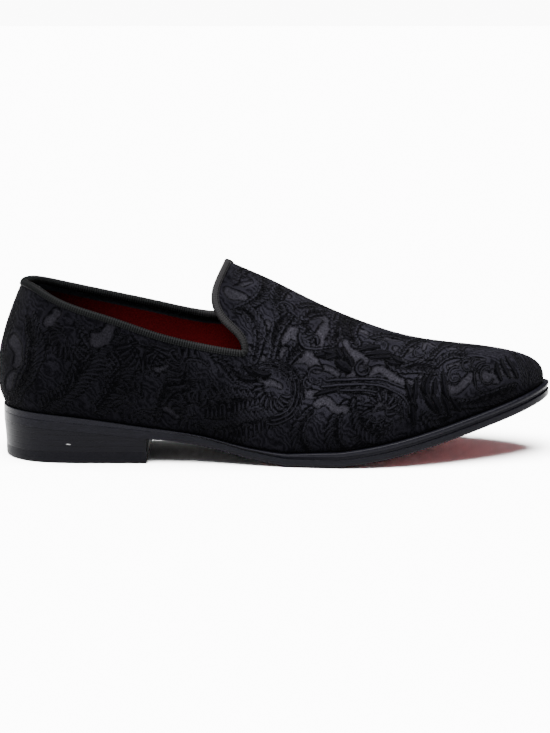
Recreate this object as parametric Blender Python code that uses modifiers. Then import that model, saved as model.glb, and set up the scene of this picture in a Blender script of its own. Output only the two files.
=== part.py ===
"""Velvet slipper loafer, right shoe, in metres: +X to the toe, +Y to the inner side, +Z up.

Every piece follows one last, a ring of sections that runs from the back of the heel along the
outer side to the toe and home along the inner side. The origin lies on the floor, under the
middle of the heel.
"""

import bmesh
import bpy
import numpy as np

# Lengths along the shoe, from the back of the sole
SOLE_LENGTH = 0.300
HEEL_LENGTH = 0.0795
THROAT_PLACE = 0.1322
THROAT_ROUND = 0.0012
TAB_REACH = 0.0170

# Widths of the sole
BALL_WIDTH = 0.096
HEEL_WIDTH = 0.064

# Heights above the floor
HEEL_HEIGHT = 0.0203
TOE_SPRING = 0.031
INSTEP_HEIGHT = 0.1062
BACK_HEIGHT = 0.095

# Thicknesses and edges
OUTSOLE = 0.0046
EDGE_ROUND = 0.0012
EDGE_ROUND_WIDTH = 0.005
WELT = 0.0040
WELT_STEP = 0.0035
WELT_GROOVE = 0.0009
INSOLE = 0.0055
INSOLE_ROUND = 0.0008
WALL = 0.0020
BINDING_WIDTH = 0.0028
BINDING_THICKNESS = 0.0008
TOP_PIECE = 0.0060
TOP_PIECE_ROUND = 0.0012
HEEL_TAPER = 0.0010
GAP = 0.0003

# Meshing: stations for each row of the ring, and rows up the wall below and above the throat
STATIONS_PER_ROW = 4
WALL_ROWS = 6
VAMP_ROWS = 10

# One row for each section, from the back of the heel to the toe, both sides.
# root: where the section meets the ridge, and edge: where its end lies on the sole's outline,
# both as shares of the sole's length. outer and inner: the outline's reach to each side, as
# shares of half the width in the last column. step: how far the sole stands out, as a share of
# the welt's step. swell and crown: reach of the section's two handles, as shares of its foot's.
# rise: height of the lower handle, as a share of the way up to the ridge. top: height of the
# rim, as a share of the back's height.
SECTION_COLUMNS = (
    "root", "edge", "outer", "inner", "step", "swell_outer", "swell_inner",
    "crown_outer", "crown_inner", "rise", "top_outer", "top_inner", "width",
)
SECTIONS = (
    (0.100, 0.000, 0.000, 0.000, 0.45, 1.70, 1.70, -0.42, -0.42, 0.300, 1.008, 1.008, HEEL_WIDTH),
    (0.105, 0.018, 0.520, 0.520, 0.45, 1.66, 1.66, -0.32, -0.32, 0.310, 1.008, 1.008, HEEL_WIDTH),
    (0.115, 0.062, 0.870, 0.865, 0.45, 1.60, 1.60, -0.09, -0.09, 0.330, 0.981, 0.984, HEEL_WIDTH),
    (0.140, 0.125, 1.000, 0.985, 0.45, 1.54, 1.54, 0.16, 0.16, 0.345, 0.906, 0.940, HEEL_WIDTH),
    (0.205, 0.205, 1.020, 0.975, 0.45, 1.48, 1.53, 0.45, 0.48, 0.370, 0.830, 0.882, HEEL_WIDTH),
    (0.285, 0.285, 1.040, 0.910, 0.45, 1.50, 1.70, 0.54, 0.62, 0.440, 0.747, 0.825, HEEL_WIDTH),
    (0.365, 0.365, 0.725, 0.570, 0.50, 1.61, 2.03, 0.42, 0.52, 0.530, 0.688, 0.773, BALL_WIDTH),
    (0.445, 0.445, 0.800, 0.600, 0.60, 1.49, 1.88, 0.44, 0.56, 0.555, 0.648, 0.763, BALL_WIDTH),
    (0.525, 0.525, 0.895, 0.720, 0.70, 1.32, 1.52, 0.50, 0.60, 0.540, 0.640, 0.763, BALL_WIDTH),
    (0.605, 0.605, 0.958, 0.895, 0.75, 1.22, 1.27, 0.56, 0.59, 0.520, 0.655, 0.755, BALL_WIDTH),
    (0.680, 0.683, 0.958, 1.010, 0.85, 1.15, 1.15, 0.59, 0.59, 0.520, 0.700, 0.730, BALL_WIDTH),
    (0.745, 0.760, 0.895, 0.970, 0.95, 1.10, 1.10, 0.61, 0.61, 0.540, 0.705, 0.720, BALL_WIDTH),
    (0.793, 0.835, 0.760, 0.823, 1.00, 1.06, 1.06, 0.64, 0.64, 0.550, 0.708, 0.716, BALL_WIDTH),
    (0.820, 0.907, 0.588, 0.640, 1.00, 1.04, 1.04, 0.70, 0.70, 0.550, 0.710, 0.714, BALL_WIDTH),
    (0.833, 0.967, 0.352, 0.380, 1.00, 1.03, 1.03, 0.80, 0.80, 0.560, 0.711, 0.713, BALL_WIDTH),
    (0.838, 1.000, 0.000, 0.000, 1.00, 1.03, 1.03, 0.86, 0.86, 0.580, 0.712, 0.712, BALL_WIDTH),
)

# Underside of the outsole: place as a share of the sole's length, height as a share of the
# heel's height plus a share of the toe spring. It is ground flat where it would pass the floor.
UNDERSIDE = (
    (0.000, 1.000, 0.000),
    (0.123, 0.890, 0.000),
    (0.257, 0.690, 0.000),
    (0.377, 0.445, 0.000),
    (0.440, 0.200, 0.000),
    (0.480, 0.082, 0.000),
    (0.517, 0.000, 0.000),
    (0.553, -0.015, 0.000),
    (0.593, -0.015, 0.000),
    (0.635, 0.000, 0.030),
    (0.683, 0.000, 0.106),
    (0.740, 0.000, 0.235),
    (0.817, 0.000, 0.442),
    (0.900, 0.000, 0.684),
    (0.967, 0.000, 0.890),
    (1.000, 0.000, 1.000),
)

# Thickness of the welt along the sole: place as a share of the length, thickness as a share.
WELT_BODY = (
    (0.000, 0.75), (0.100, 0.72), (0.200, 0.50), (0.283, 0.25), (0.400, 0.22),
    (0.500, 0.50), (0.583, 0.85), (0.667, 1.00), (0.833, 1.00), (1.000, 1.00),
)

# Ridge of the last: place as a share of the sole's length, height as a share of the instep's.
RIDGE = (
    (0.067, 1.340), (0.200, 1.290), (0.317, 1.140), (0.408, 1.000), (0.487, 0.900),
    (0.567, 0.786), (0.650, 0.684), (0.733, 0.606), (0.817, 0.567), (0.873, 0.552),
)

# Edge of the throat tab: share of the way up to the ridge, share of its reach, outer and inner.
TAB_EDGE = (
    (0.00, 0.02, 0.02), (0.05, 0.06, 0.06), (0.10, 0.24, 0.24), (0.16, 0.63, 0.60),
    (0.22, 0.85, 0.75), (0.29, 0.94, 0.80), (0.36, 0.945, 0.79), (0.48, 0.865, 0.70),
    (0.60, 0.755, 0.60), (0.72, 0.665, 0.52), (0.84, 0.595, 0.495), (0.93, 0.57, 0.535),
    (1.00, 0.565, 0.565),
)

ROWS = len(SECTIONS)
TOE = ROWS - 1
RING = 2 * TOE
OUTER, INNER = -1, 1
PAD_ROWS = 6


def smooth_curve(knots, values):
    """A natural cubic spline through a table's rows, as a function."""
    knots = np.array(knots, float)
    values = np.array(values, float)
    spans = np.diff(knots)
    slopes = np.diff(values) / spans
    matrix = np.eye(len(knots))
    right = np.zeros(len(knots))
    for i in range(1, len(knots) - 1):
        matrix[i, i - 1:i + 2] = spans[i - 1], 2 * (spans[i - 1] + spans[i]), spans[i]
        right[i] = 6 * (slopes[i] - slopes[i - 1])
    bends = np.linalg.solve(matrix, right)

    def at(place):
        place = np.clip(place, knots[0], knots[-1])
        i = np.clip(np.searchsorted(knots, place) - 1, 0, len(spans) - 1)
        ahead = (place - knots[i]) / spans[i]
        back = 1 - ahead
        bend = (back ** 3 - back) * bends[i] + (ahead ** 3 - ahead) * bends[i + 1]
        return back * values[i] + ahead * values[i + 1] + bend * spans[i] ** 2 / 6

    return at


def ring_curve(outer, inner):
    """A smooth closed curve through one column, out along the outer rows and home along the inner."""
    loop = list(outer) + list(inner[-2:0:-1])
    padded = loop[-PAD_ROWS:] + loop + loop[:PAD_ROWS + 1]
    curve = smooth_curve(range(-PAD_ROWS, len(loop) + PAD_ROWS + 1), padded)
    return lambda place: curve(np.mod(place, RING))


def column(name):
    return np.array([row[SECTION_COLUMNS.index(name)] for row in SECTIONS], float)


def length_curve(rows, scale):
    places = [row[0] * SOLE_LENGTH for row in rows]
    return smooth_curve(places, [row[1] * scale for row in rows])


HALF_WIDTHS = column("width") / 2
root_x = ring_curve(column("root") * SOLE_LENGTH, column("root") * SOLE_LENGTH)
edge_x = ring_curve(column("edge") * SOLE_LENGTH, column("edge") * SOLE_LENGTH)
edge_y = ring_curve(-column("outer") * HALF_WIDTHS, column("inner") * HALF_WIDTHS)
step_in = ring_curve(column("step") * WELT_STEP, column("step") * WELT_STEP)
swell = ring_curve(column("swell_outer"), column("swell_inner"))
crown = ring_curve(column("crown_outer"), column("crown_inner"))
rise = ring_curve(column("rise"), column("rise"))
rim_height = ring_curve(column("top_outer") * BACK_HEIGHT, column("top_inner") * BACK_HEIGHT)

ridge_height = length_curve(RIDGE, INSTEP_HEIGHT)
welt_body = length_curve(WELT_BODY, WELT)
tab_share = {
    OUTER: smooth_curve([row[0] for row in TAB_EDGE], [row[1] for row in TAB_EDGE]),
    INNER: smooth_curve([row[0] for row in TAB_EDGE], [row[2] for row in TAB_EDGE]),
}
underside_curve = smooth_curve(
    [row[0] * SOLE_LENGTH for row in UNDERSIDE],
    [row[1] * HEEL_HEIGHT + row[2] * TOE_SPRING for row in UNDERSIDE],
)


def underside(x):
    """Height of the outsole's underside."""
    return np.maximum(underside_curve(x), 0)


def feather_height(x):
    """Height at which the upper sits on the welt."""
    return underside(x) + OUTSOLE + GAP + welt_body(x) + GAP


def on_side(row, side):
    """Place on the ring of a row, whole or not, on one side."""
    return row if side == OUTER else RING - row


def row_at(x, curve):
    """The row at which one of the ring's lengthwise curves reaches x."""
    rows = np.linspace(0, TOE, 40 * TOE + 1)
    return float(np.interp(x, curve(rows), rows))


def outline(place, inset):
    """Plan point of the sole's outline, moved in along its section."""
    root = root_x(place)
    across = np.array([edge_x(place) - root, edge_y(place)])
    reach = np.linalg.norm(across)
    return np.array([root, 0]) + across * (1 - inset / reach)


def last_point(place, share):
    """Point on the last: share 0 is its foot on the welt, share 1 its ridge."""
    root = root_x(place)
    foot = outline(place, step_in(place)) - np.array([root, 0])
    low = feather_height(root + foot[0])
    high = ridge_height(root)
    step = 0.001
    slope = (ridge_height(root + step) - ridge_height(root - step)) / (2 * step)
    back = 1 - share
    weights = back ** 3, 3 * share * back ** 2, 3 * share ** 2 * back, share ** 3
    reach = weights[0] + weights[1] * swell(place) + weights[2] * crown(place)
    shoulder = high + slope * foot[0] * crown(place)
    height = (
        weights[0] * low
        + weights[1] * (low + rise(place) * (high - low))
        + weights[2] * shoulder
        + weights[3] * high
    )
    return np.array([root + foot[0] * reach, foot[1] * reach, height])


def last_normal(place, share):
    """Outward normal of the last, away from the ends of a section."""
    share = min(share, 0.995)
    step = 0.01
    along = last_point(place + step, share) - last_point(place - step, share)
    up = last_point(place, share + step / 2) - last_point(place, share - step / 2)
    normal = np.cross(along, up)
    return normal / np.linalg.norm(normal)


def share_at_height(place, height):
    """Share of a section at which it reaches a height."""
    low, high = 0.0, 1.0
    for _ in range(40):
        middle = (low + high) / 2
        if last_point(place, middle)[2] < height:
            low = middle
        else:
            high = middle
    return low


THROAT = row_at(THROAT_PLACE, root_x)


def to_world(point):
    return (point[0] - HEEL_LENGTH / 2, point[1], point[2])


def new_collection(name):
    collection = bpy.data.collections.new(name)
    bpy.context.scene.collection.children.link(collection)
    return collection


def new_material(name, colour, roughness, sheen=0.0):
    material = bpy.data.materials.new(name)
    material.use_nodes = True
    shader = material.node_tree.nodes["Principled BSDF"]
    shader.inputs["Base Color"].default_value = (*colour, 1)
    shader.inputs["Roughness"].default_value = roughness
    shader.inputs["Metallic"].default_value = 0.0
    shader.inputs["Sheen Weight"].default_value = sheen
    material.diffuse_color = (*colour, 1)
    return material


def new_piece(name, points, faces, material, smooth_angle=0.6):
    """An object from a loft's points and faces, with doubled points joined."""
    mesh = bpy.data.meshes.new(name)
    mesh.from_pydata([to_world(point) for point in points], [], faces)
    build = bmesh.new()
    build.from_mesh(mesh)
    bmesh.ops.remove_doubles(build, verts=build.verts, dist=0.00002)
    bmesh.ops.dissolve_degenerate(build, edges=build.edges, dist=0.00001)
    bmesh.ops.recalc_face_normals(build, faces=build.faces)
    build.to_mesh(mesh)
    build.free()
    mesh.shade_smooth()
    mesh.set_sharp_from_angle(angle=smooth_angle)
    mesh.materials.append(material)
    piece = bpy.data.objects.new(name, mesh)
    PARTS.objects.link(piece)
    return piece


def loft(loops, closed):
    """Faces between loops of equal length, as one band or with both ends capped."""
    count = len(loops[0])
    faces = []
    last = len(loops) if closed else len(loops) - 1
    for i in range(last):
        here = i * count
        there = (i + 1) % len(loops) * count
        for j in range(count):
            k = (j + 1) % count
            faces.append((here + j, here + k, there + k, there + j))
    if not closed:
        faces.append(tuple(reversed(range(count))))
        faces.append(tuple(range((len(loops) - 1) * count, len(loops) * count)))
    return [point for loop in loops for point in loop], faces


def row_stations(first, last):
    """Rows between two places of the ring, evenly spaced."""
    count = max(2, round((last - first) * STATIONS_PER_ROW))
    return np.linspace(first, last, count + 1)


def plate(name, stations, corners, material):
    """A flat piece of the sole: for each station one cross-section, from side to side.

    corners holds an inset and a height function for each point down one side.
    """
    loops = []
    for row in stations:
        halves = {}
        for side in (OUTER, INNER):
            place = on_side(row, side)
            halves[side] = []
            for inset, height in corners:
                x, y = outline(place, inset(place))
                halves[side].append((x, y, height(x)))
        loops.append(halves[OUTER] + halves[INNER][::-1])
    points, faces = loft(loops, closed=False)
    return new_piece(name, points, faces, material)


def fixed(value):
    return lambda place: value


def make_outsole(material):
    def rounding(x):
        free = np.clip((x - HEEL_LENGTH) / HEEL_LENGTH, 0, 1)
        return EDGE_ROUND * free

    def top(x):
        return underside(x) + OUTSOLE

    def edge_foot(x):
        return underside(x) + rounding(x)

    corners = (
        (fixed(0.0), top),
        (fixed(0.0), edge_foot),
        (fixed(EDGE_ROUND_WIDTH), underside),
    )
    return plate("outsole", row_stations(0, TOE), corners, material)


def make_heel(block_material, top_piece_material):
    breast = row_at(HEEL_LENGTH, edge_x)
    stations = row_stations(0, breast)

    def under_seat(x):
        return underside(x) - GAP

    def block_foot(x):
        return TOP_PIECE + GAP

    def top_piece_top(x):
        return TOP_PIECE

    def top_piece_side(x):
        return TOP_PIECE_ROUND

    def floor(x):
        return 0.0

    block = (
        (fixed(0.0), under_seat),
        (fixed(HEEL_TAPER), block_foot),
    )
    top_piece = (
        (fixed(HEEL_TAPER), top_piece_top),
        (fixed(HEEL_TAPER), top_piece_side),
        (fixed(HEEL_TAPER + TOP_PIECE_ROUND), floor),
    )
    plate("heel_block", stations, block, block_material)
    plate("heel_top_piece", stations, top_piece, top_piece_material)


def make_insole(material):
    def inset(place):
        return step_in(place) + WALL + 2 * GAP

    def round_inset(place):
        return inset(place) + INSOLE_ROUND

    def foot(x):
        return underside(x) + OUTSOLE + GAP

    def side_top(x):
        return foot(x) + INSOLE - INSOLE_ROUND

    def top(x):
        return foot(x) + INSOLE

    corners = ((round_inset, top), (inset, side_top), (inset, foot))
    return plate("insole", row_stations(0, TOE), corners, material)


def make_welt(material):
    """A strip round the whole shoe, grooved where it meets the outsole."""
    loops = []
    for place in np.linspace(0, RING, RING * STATIONS_PER_ROW, endpoint=False):
        inner = step_in(place) + WALL
        groove = min(WELT_GROOVE, step_in(place) / 2)
        profile = (
            (inner, 0.0), (groove, 0.0), (groove, 0.30), (0.0, 0.45),
            (0.0, 0.86), (groove / 2, 1.0), (inner, 1.0),
        )
        loop = []
        for inset, share in profile:
            x, y = outline(place, inset)
            loop.append((x, y, underside(x) + OUTSOLE + GAP + share * welt_body(x)))
        loops.append(loop)
    points, faces = loft(loops, closed=True)
    return new_piece("welt", points, faces, material)


def rim_step(place, share):
    """Share of a section that lies one binding's width below a point on it."""
    point = last_point(place, share)
    step = 0.02
    pace = np.linalg.norm(last_point(place, share - step) - point) / step
    return share - BINDING_WIDTH / pace


def wall_shares(place, lift=0.0):
    """Shares of one section from its foot to the rim, which may be lifted."""
    top = share_at_height(place, rim_height(place) + lift)
    return np.append(np.linspace(0, rim_step(place, top), WALL_ROWS), top)


def throat_shares(side):
    """Shares of the section at the throat, from its foot past the rim to the ridge."""
    low = wall_shares(on_side(THROAT, side), THROAT_ROUND)
    return np.append(low, np.linspace(low[-1], 1, VAMP_ROWS + 1)[1:])


def upper_grid(side):
    """Points of one half of the upper: quarter columns, then vamp columns, foot to rim."""
    shares = throat_shares(side)
    toe_shares = (throat_shares(OUTER) + throat_shares(INNER)) / 2
    corner = shares[WALL_ROWS]
    ups = np.maximum(shares - corner, 0) / (1 - corner)
    starts = [row_at(THROAT_PLACE - TAB_REACH * tab_share[side](up), root_x) for up in ups]
    binding = row_at(THROAT_PLACE + BINDING_WIDTH, root_x) - THROAT
    vamps = []
    for index, row in enumerate(row_stations(THROAT, TOE)):
        way = (row - THROAT) / (TOE - THROAT)
        cells = []
        for start, share, toe_share in zip(starts, shares, toe_shares):
            behind = start + binding if index == 1 else start + way * (TOE - start)
            cells.append((on_side(behind, side), share + way * (toe_share - share)))
        vamps.append(cells)

    quarters = []
    for row in row_stations(0, THROAT)[:-1]:
        place = on_side(row, side)
        quarters.append([(place, share) for share in wall_shares(place)])
    quarters.append(vamps[0][:WALL_ROWS + 1])
    return quarters, vamps


def make_upper(material):
    points = []
    faces = []

    def add_patch(columns, side):
        first = len(points)
        height = len(columns[0])
        for cells in columns:
            for place, share in cells:
                points.append(last_point(place, share))
        for i in range(len(columns) - 1):
            for j in range(height - 1):
                a = first + i * height + j
                b = a + height
                face = (a, b, b + 1, a + 1)
                faces.append(face if side == OUTER else face[::-1])

    for side in (OUTER, INNER):
        quarters, vamps = upper_grid(side)
        add_patch(quarters, side)
        add_patch(vamps, side)
    piece = new_piece("upper", points, faces, material)
    shell = piece.modifiers.new("wall", "SOLIDIFY")
    shell.thickness = WALL
    shell.offset = -1
    shell.use_even_offset = True
    return piece


def rim_pairs(side):
    """Rim of one half from the back to the tab's middle: each point with the one below it."""
    quarters, vamps = upper_grid(side)
    pairs = [(cells[-1], cells[-2]) for cells in quarters[:-1]]
    pairs.append((vamps[0][WALL_ROWS], vamps[1][WALL_ROWS - 1]))
    for j in range(WALL_ROWS + 1, len(vamps[0])):
        pairs.append((vamps[0][j], vamps[1][j]))
    return pairs


def binding_loop(rim, below):
    """Cross-section of the folded tape: down the outside, over the rim, down the inside."""
    rim_point, below_point = last_point(*rim), last_point(*below)
    rim_normal, below_normal = last_normal(*rim), last_normal(*below)
    away = rim_point - below_point
    away = away / np.linalg.norm(away)
    outside, inside = GAP, -(WALL + GAP)
    thick = BINDING_THICKNESS
    over = rim_point + away * (GAP + thick)
    under = rim_point + away * GAP
    return [
        below_point + below_normal * outside,
        below_point + below_normal * (outside + thick),
        rim_point + rim_normal * (outside + thick),
        over + rim_normal * (outside + thick / 2),
        over + rim_normal * (inside - thick / 2),
        rim_point + rim_normal * (inside - thick),
        below_point + below_normal * (inside - thick),
        below_point + below_normal * inside,
        under + rim_normal * inside,
        under + rim_normal * outside,
    ]


def make_binding(material):
    outer = rim_pairs(OUTER)
    inner = rim_pairs(INNER)
    loops = [binding_loop(*pair) for pair in outer + inner[-2:0:-1]]
    points, faces = loft(loops, closed=True)
    return new_piece("topline_binding", points, faces, material)


for old in list(bpy.data.objects):
    bpy.data.objects.remove(old, do_unlink=True)
PARTS = new_collection("velvet_slipper_loafer")

make_upper(new_material("black_cut_velvet", (0.006, 0.006, 0.008), 0.9, sheen=0.4))
make_binding(new_material("ribbed_tape", (0.035, 0.033, 0.033), 0.75))
make_welt(new_material("black_welt", (0.012, 0.012, 0.014), 0.35))
make_outsole(new_material("outsole_edge", (0.012, 0.012, 0.014), 0.4))
make_heel(
    new_material("stacked_heel", (0.014, 0.014, 0.016), 0.4),
    new_material("heel_rubber", (0.012, 0.012, 0.013), 0.55),
)
make_insole(new_material("red_lining", (0.12, 0.004, 0.006), 0.6))
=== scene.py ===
"""Velvet slipper loafer, right shoe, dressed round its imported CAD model.

Metres: +X to the toe, +Y to the inner side, +Z up, floor at z = 0. The origin lies under the
middle of the heel.
"""

import bmesh
import bpy
import numpy as np
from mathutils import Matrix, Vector


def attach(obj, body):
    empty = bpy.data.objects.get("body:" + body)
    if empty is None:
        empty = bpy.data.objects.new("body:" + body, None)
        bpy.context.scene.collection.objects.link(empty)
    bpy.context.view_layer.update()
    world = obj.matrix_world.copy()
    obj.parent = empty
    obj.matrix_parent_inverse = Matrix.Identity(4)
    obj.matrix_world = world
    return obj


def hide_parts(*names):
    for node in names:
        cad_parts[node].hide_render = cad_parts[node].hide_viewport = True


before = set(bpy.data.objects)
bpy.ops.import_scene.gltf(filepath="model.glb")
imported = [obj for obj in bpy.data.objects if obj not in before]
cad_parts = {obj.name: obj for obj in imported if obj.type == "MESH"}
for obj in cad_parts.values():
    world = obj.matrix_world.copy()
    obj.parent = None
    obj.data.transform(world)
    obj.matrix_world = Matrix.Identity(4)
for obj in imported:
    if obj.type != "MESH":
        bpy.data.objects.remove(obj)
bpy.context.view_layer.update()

# The last. The wooden form that the shoe is drawn over: every piece below takes its shape from
# it. It is a ring of sections, from the back of the heel along the outer side to the toe, and
# home along the inner side. Each section is one curve, from its foot on the welt to the ridge.
SOLE_LENGTH = 0.300
HEEL_LENGTH = 0.0795
BALL_WIDTH = 0.096
HEEL_WIDTH = 0.064
HEEL_HEIGHT = 0.0203
TOE_SPRING = 0.031
INSTEP_HEIGHT = 0.1062
BACK_HEIGHT = 0.095
OUTSOLE = 0.0046
WELT = 0.0040
WELT_STEP = 0.0035
GAP = 0.0003

# root and edge: both ends of a section, as shares of the sole's length. outer and inner: the
# outline's reach, as shares of half the width. step: share of the welt's step. swell and crown:
# reach of the curve's handles. rise: height of the lower handle. top: height of the rim.
LAST_COLUMNS = (
    "root", "edge", "outer", "inner", "step", "swell_outer", "swell_inner",
    "crown_outer", "crown_inner", "rise", "top_outer", "top_inner", "width",
)
LAST_ROWS = (
    (0.100, 0.000, 0.000, 0.000, 0.45, 1.70, 1.70, -0.42, -0.42, 0.300, 1.008, 1.008, HEEL_WIDTH),
    (0.105, 0.018, 0.520, 0.520, 0.45, 1.66, 1.66, -0.32, -0.32, 0.310, 1.008, 1.008, HEEL_WIDTH),
    (0.115, 0.062, 0.870, 0.865, 0.45, 1.60, 1.60, -0.09, -0.09, 0.330, 0.981, 0.984, HEEL_WIDTH),
    (0.140, 0.125, 1.000, 0.985, 0.45, 1.54, 1.54, 0.16, 0.16, 0.345, 0.906, 0.940, HEEL_WIDTH),
    (0.205, 0.205, 1.020, 0.975, 0.45, 1.48, 1.53, 0.45, 0.48, 0.370, 0.830, 0.882, HEEL_WIDTH),
    (0.285, 0.285, 1.040, 0.910, 0.45, 1.50, 1.70, 0.54, 0.62, 0.440, 0.747, 0.825, HEEL_WIDTH),
    (0.365, 0.365, 0.725, 0.570, 0.50, 1.61, 2.03, 0.42, 0.52, 0.530, 0.688, 0.773, BALL_WIDTH),
    (0.445, 0.445, 0.800, 0.600, 0.60, 1.49, 1.88, 0.44, 0.56, 0.555, 0.648, 0.763, BALL_WIDTH),
    (0.525, 0.525, 0.895, 0.720, 0.70, 1.32, 1.52, 0.50, 0.60, 0.540, 0.640, 0.763, BALL_WIDTH),
    (0.605, 0.605, 0.958, 0.895, 0.75, 1.22, 1.27, 0.56, 0.59, 0.520, 0.655, 0.755, BALL_WIDTH),
    (0.680, 0.683, 0.958, 1.010, 0.85, 1.15, 1.15, 0.59, 0.59, 0.520, 0.700, 0.730, BALL_WIDTH),
    (0.745, 0.760, 0.895, 0.970, 0.95, 1.10, 1.10, 0.61, 0.61, 0.540, 0.705, 0.720, BALL_WIDTH),
    (0.793, 0.835, 0.760, 0.823, 1.00, 1.06, 1.06, 0.64, 0.64, 0.550, 0.708, 0.716, BALL_WIDTH),
    (0.820, 0.907, 0.588, 0.640, 1.00, 1.04, 1.04, 0.70, 0.70, 0.550, 0.710, 0.714, BALL_WIDTH),
    (0.833, 0.967, 0.352, 0.380, 1.00, 1.03, 1.03, 0.80, 0.80, 0.560, 0.711, 0.713, BALL_WIDTH),
    (0.838, 1.000, 0.000, 0.000, 1.00, 1.03, 1.03, 0.86, 0.86, 0.580, 0.712, 0.712, BALL_WIDTH),
)
# Underside of the outsole: place as a share of its length, height as shares of heel and spring.
UNDERSIDE_ROWS = (
    (0.000, 1.000, 0.000), (0.123, 0.890, 0.000), (0.257, 0.690, 0.000), (0.377, 0.445, 0.000),
    (0.440, 0.200, 0.000), (0.480, 0.082, 0.000), (0.517, 0.000, 0.000), (0.553, -0.015, 0.000),
    (0.593, -0.015, 0.000), (0.635, 0.000, 0.030), (0.683, 0.000, 0.106), (0.740, 0.000, 0.235),
    (0.817, 0.000, 0.442), (0.900, 0.000, 0.684), (0.967, 0.000, 0.890), (1.000, 0.000, 1.000),
)
WELT_ROWS = (
    (0.000, 0.75), (0.100, 0.72), (0.200, 0.50), (0.283, 0.25), (0.400, 0.22),
    (0.500, 0.50), (0.583, 0.85), (0.667, 1.00), (0.833, 1.00), (1.000, 1.00),
)
RIDGE_ROWS = (
    (0.067, 1.340), (0.200, 1.290), (0.317, 1.140), (0.408, 1.000), (0.487, 0.900),
    (0.567, 0.786), (0.650, 0.684), (0.733, 0.606), (0.817, 0.567), (0.873, 0.552),
)

TOE = len(LAST_ROWS) - 1
RING = 2 * TOE
OUTER, INNER = -1, 1
PAD_ROWS = 6


def smooth_curve(knots, values):
    """A natural cubic spline through a table's rows, as a function."""
    knots = np.array(knots, float)
    values = np.array(values, float)
    spans = np.diff(knots)
    slopes = np.diff(values) / spans
    matrix = np.eye(len(knots))
    right = np.zeros(len(knots))
    for i in range(1, len(knots) - 1):
        matrix[i, i - 1:i + 2] = spans[i - 1], 2 * (spans[i - 1] + spans[i]), spans[i]
        right[i] = 6 * (slopes[i] - slopes[i - 1])
    bends = np.linalg.solve(matrix, right)

    def at(place):
        place = np.clip(place, knots[0], knots[-1])
        i = np.clip(np.searchsorted(knots, place) - 1, 0, len(spans) - 1)
        ahead = (place - knots[i]) / spans[i]
        back = 1 - ahead
        bend = (back ** 3 - back) * bends[i] + (ahead ** 3 - ahead) * bends[i + 1]
        return back * values[i] + ahead * values[i + 1] + bend * spans[i] ** 2 / 6

    return at


def ring_curve(outer, inner):
    """A smooth closed curve through one column, out along the outer rows and home along the inner."""
    loop = list(outer) + list(inner[-2:0:-1])
    padded = loop[-PAD_ROWS:] + loop + loop[:PAD_ROWS + 1]
    curve = smooth_curve(range(-PAD_ROWS, len(loop) + PAD_ROWS + 1), padded)
    return lambda place: curve(np.mod(place, RING))


def last_column(name):
    return np.array([row[LAST_COLUMNS.index(name)] for row in LAST_ROWS], float)


def length_curve(rows, scale):
    """A height along the shoe, from a table of places and shares."""
    return smooth_curve([row[0] * SOLE_LENGTH for row in rows], [row[1] * scale for row in rows])


def even_ring(name, scale=1.0):
    return ring_curve(last_column(name) * scale, last_column(name) * scale)


HALF_WIDTHS = last_column("width") / 2
root_x = even_ring("root", SOLE_LENGTH)
edge_x = even_ring("edge", SOLE_LENGTH)
edge_y = ring_curve(-last_column("outer") * HALF_WIDTHS, last_column("inner") * HALF_WIDTHS)
step_in = even_ring("step", WELT_STEP)
swell = ring_curve(last_column("swell_outer"), last_column("swell_inner"))
crown = ring_curve(last_column("crown_outer"), last_column("crown_inner"))
rise = even_ring("rise")
rim_height = ring_curve(
    last_column("top_outer") * BACK_HEIGHT, last_column("top_inner") * BACK_HEIGHT
)
ridge_height = length_curve(RIDGE_ROWS, INSTEP_HEIGHT)
welt_body = length_curve(WELT_ROWS, WELT)
underside_curve = smooth_curve(
    [row[0] * SOLE_LENGTH for row in UNDERSIDE_ROWS],
    [row[1] * HEEL_HEIGHT + row[2] * TOE_SPRING for row in UNDERSIDE_ROWS],
)


def underside(x):
    return np.maximum(underside_curve(x), 0)


def feather_height(x):
    """Height at which the upper sits on the welt."""
    return underside(x) + OUTSOLE + GAP + welt_body(x) + GAP


def on_side(row, side):
    """Place on the ring of a row, on one side."""
    return row if side == OUTER else RING - row


def row_at(x, curve):
    """The row at which one of the ring's lengthwise curves reaches x."""
    rows = np.linspace(0, TOE, 40 * TOE + 1)
    return np.interp(x, curve(rows), rows)


def outline(place, inset):
    """Plan of the sole's outline, from the back of the sole, moved in along each section."""
    root = root_x(place)
    along, across = edge_x(place) - root, edge_y(place)
    kept = 1 - inset / np.hypot(along, across)
    return root + along * kept, across * kept


def last_point(place, share):
    """Points of the last, in the shoe's frame: share 0 is the foot on the welt, 1 the ridge."""
    place, share = np.broadcast_arrays(np.asarray(place, float), np.asarray(share, float))
    root = root_x(place)
    foot_x, foot_y = outline(place, step_in(place))
    foot_x = foot_x - root
    low = feather_height(root + foot_x)
    high = ridge_height(root)
    step = 0.001
    slope = (ridge_height(root + step) - ridge_height(root - step)) / (2 * step)
    back = 1 - share
    weights = back ** 3, 3 * share * back ** 2, 3 * share ** 2 * back, share ** 3
    reach = weights[0] + weights[1] * swell(place) + weights[2] * crown(place)
    height = (
        weights[0] * low
        + weights[1] * (low + rise(place) * (high - low))
        + weights[2] * (high + slope * foot_x * crown(place))
        + weights[3] * high
    )
    return np.stack([root + foot_x * reach - HEEL_LENGTH / 2, foot_y * reach, height], axis=-1)


def last_normal(place, share):
    """Outward normals of the last."""
    share = np.clip(share, 0.003, 0.997)
    along = last_point(place + 0.01, share) - last_point(place - 0.01, share)
    up = last_point(place, share + 0.003) - last_point(place, share - 0.003)
    normal = np.cross(along, up)
    return normal / np.linalg.norm(normal, axis=-1, keepdims=True)


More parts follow.
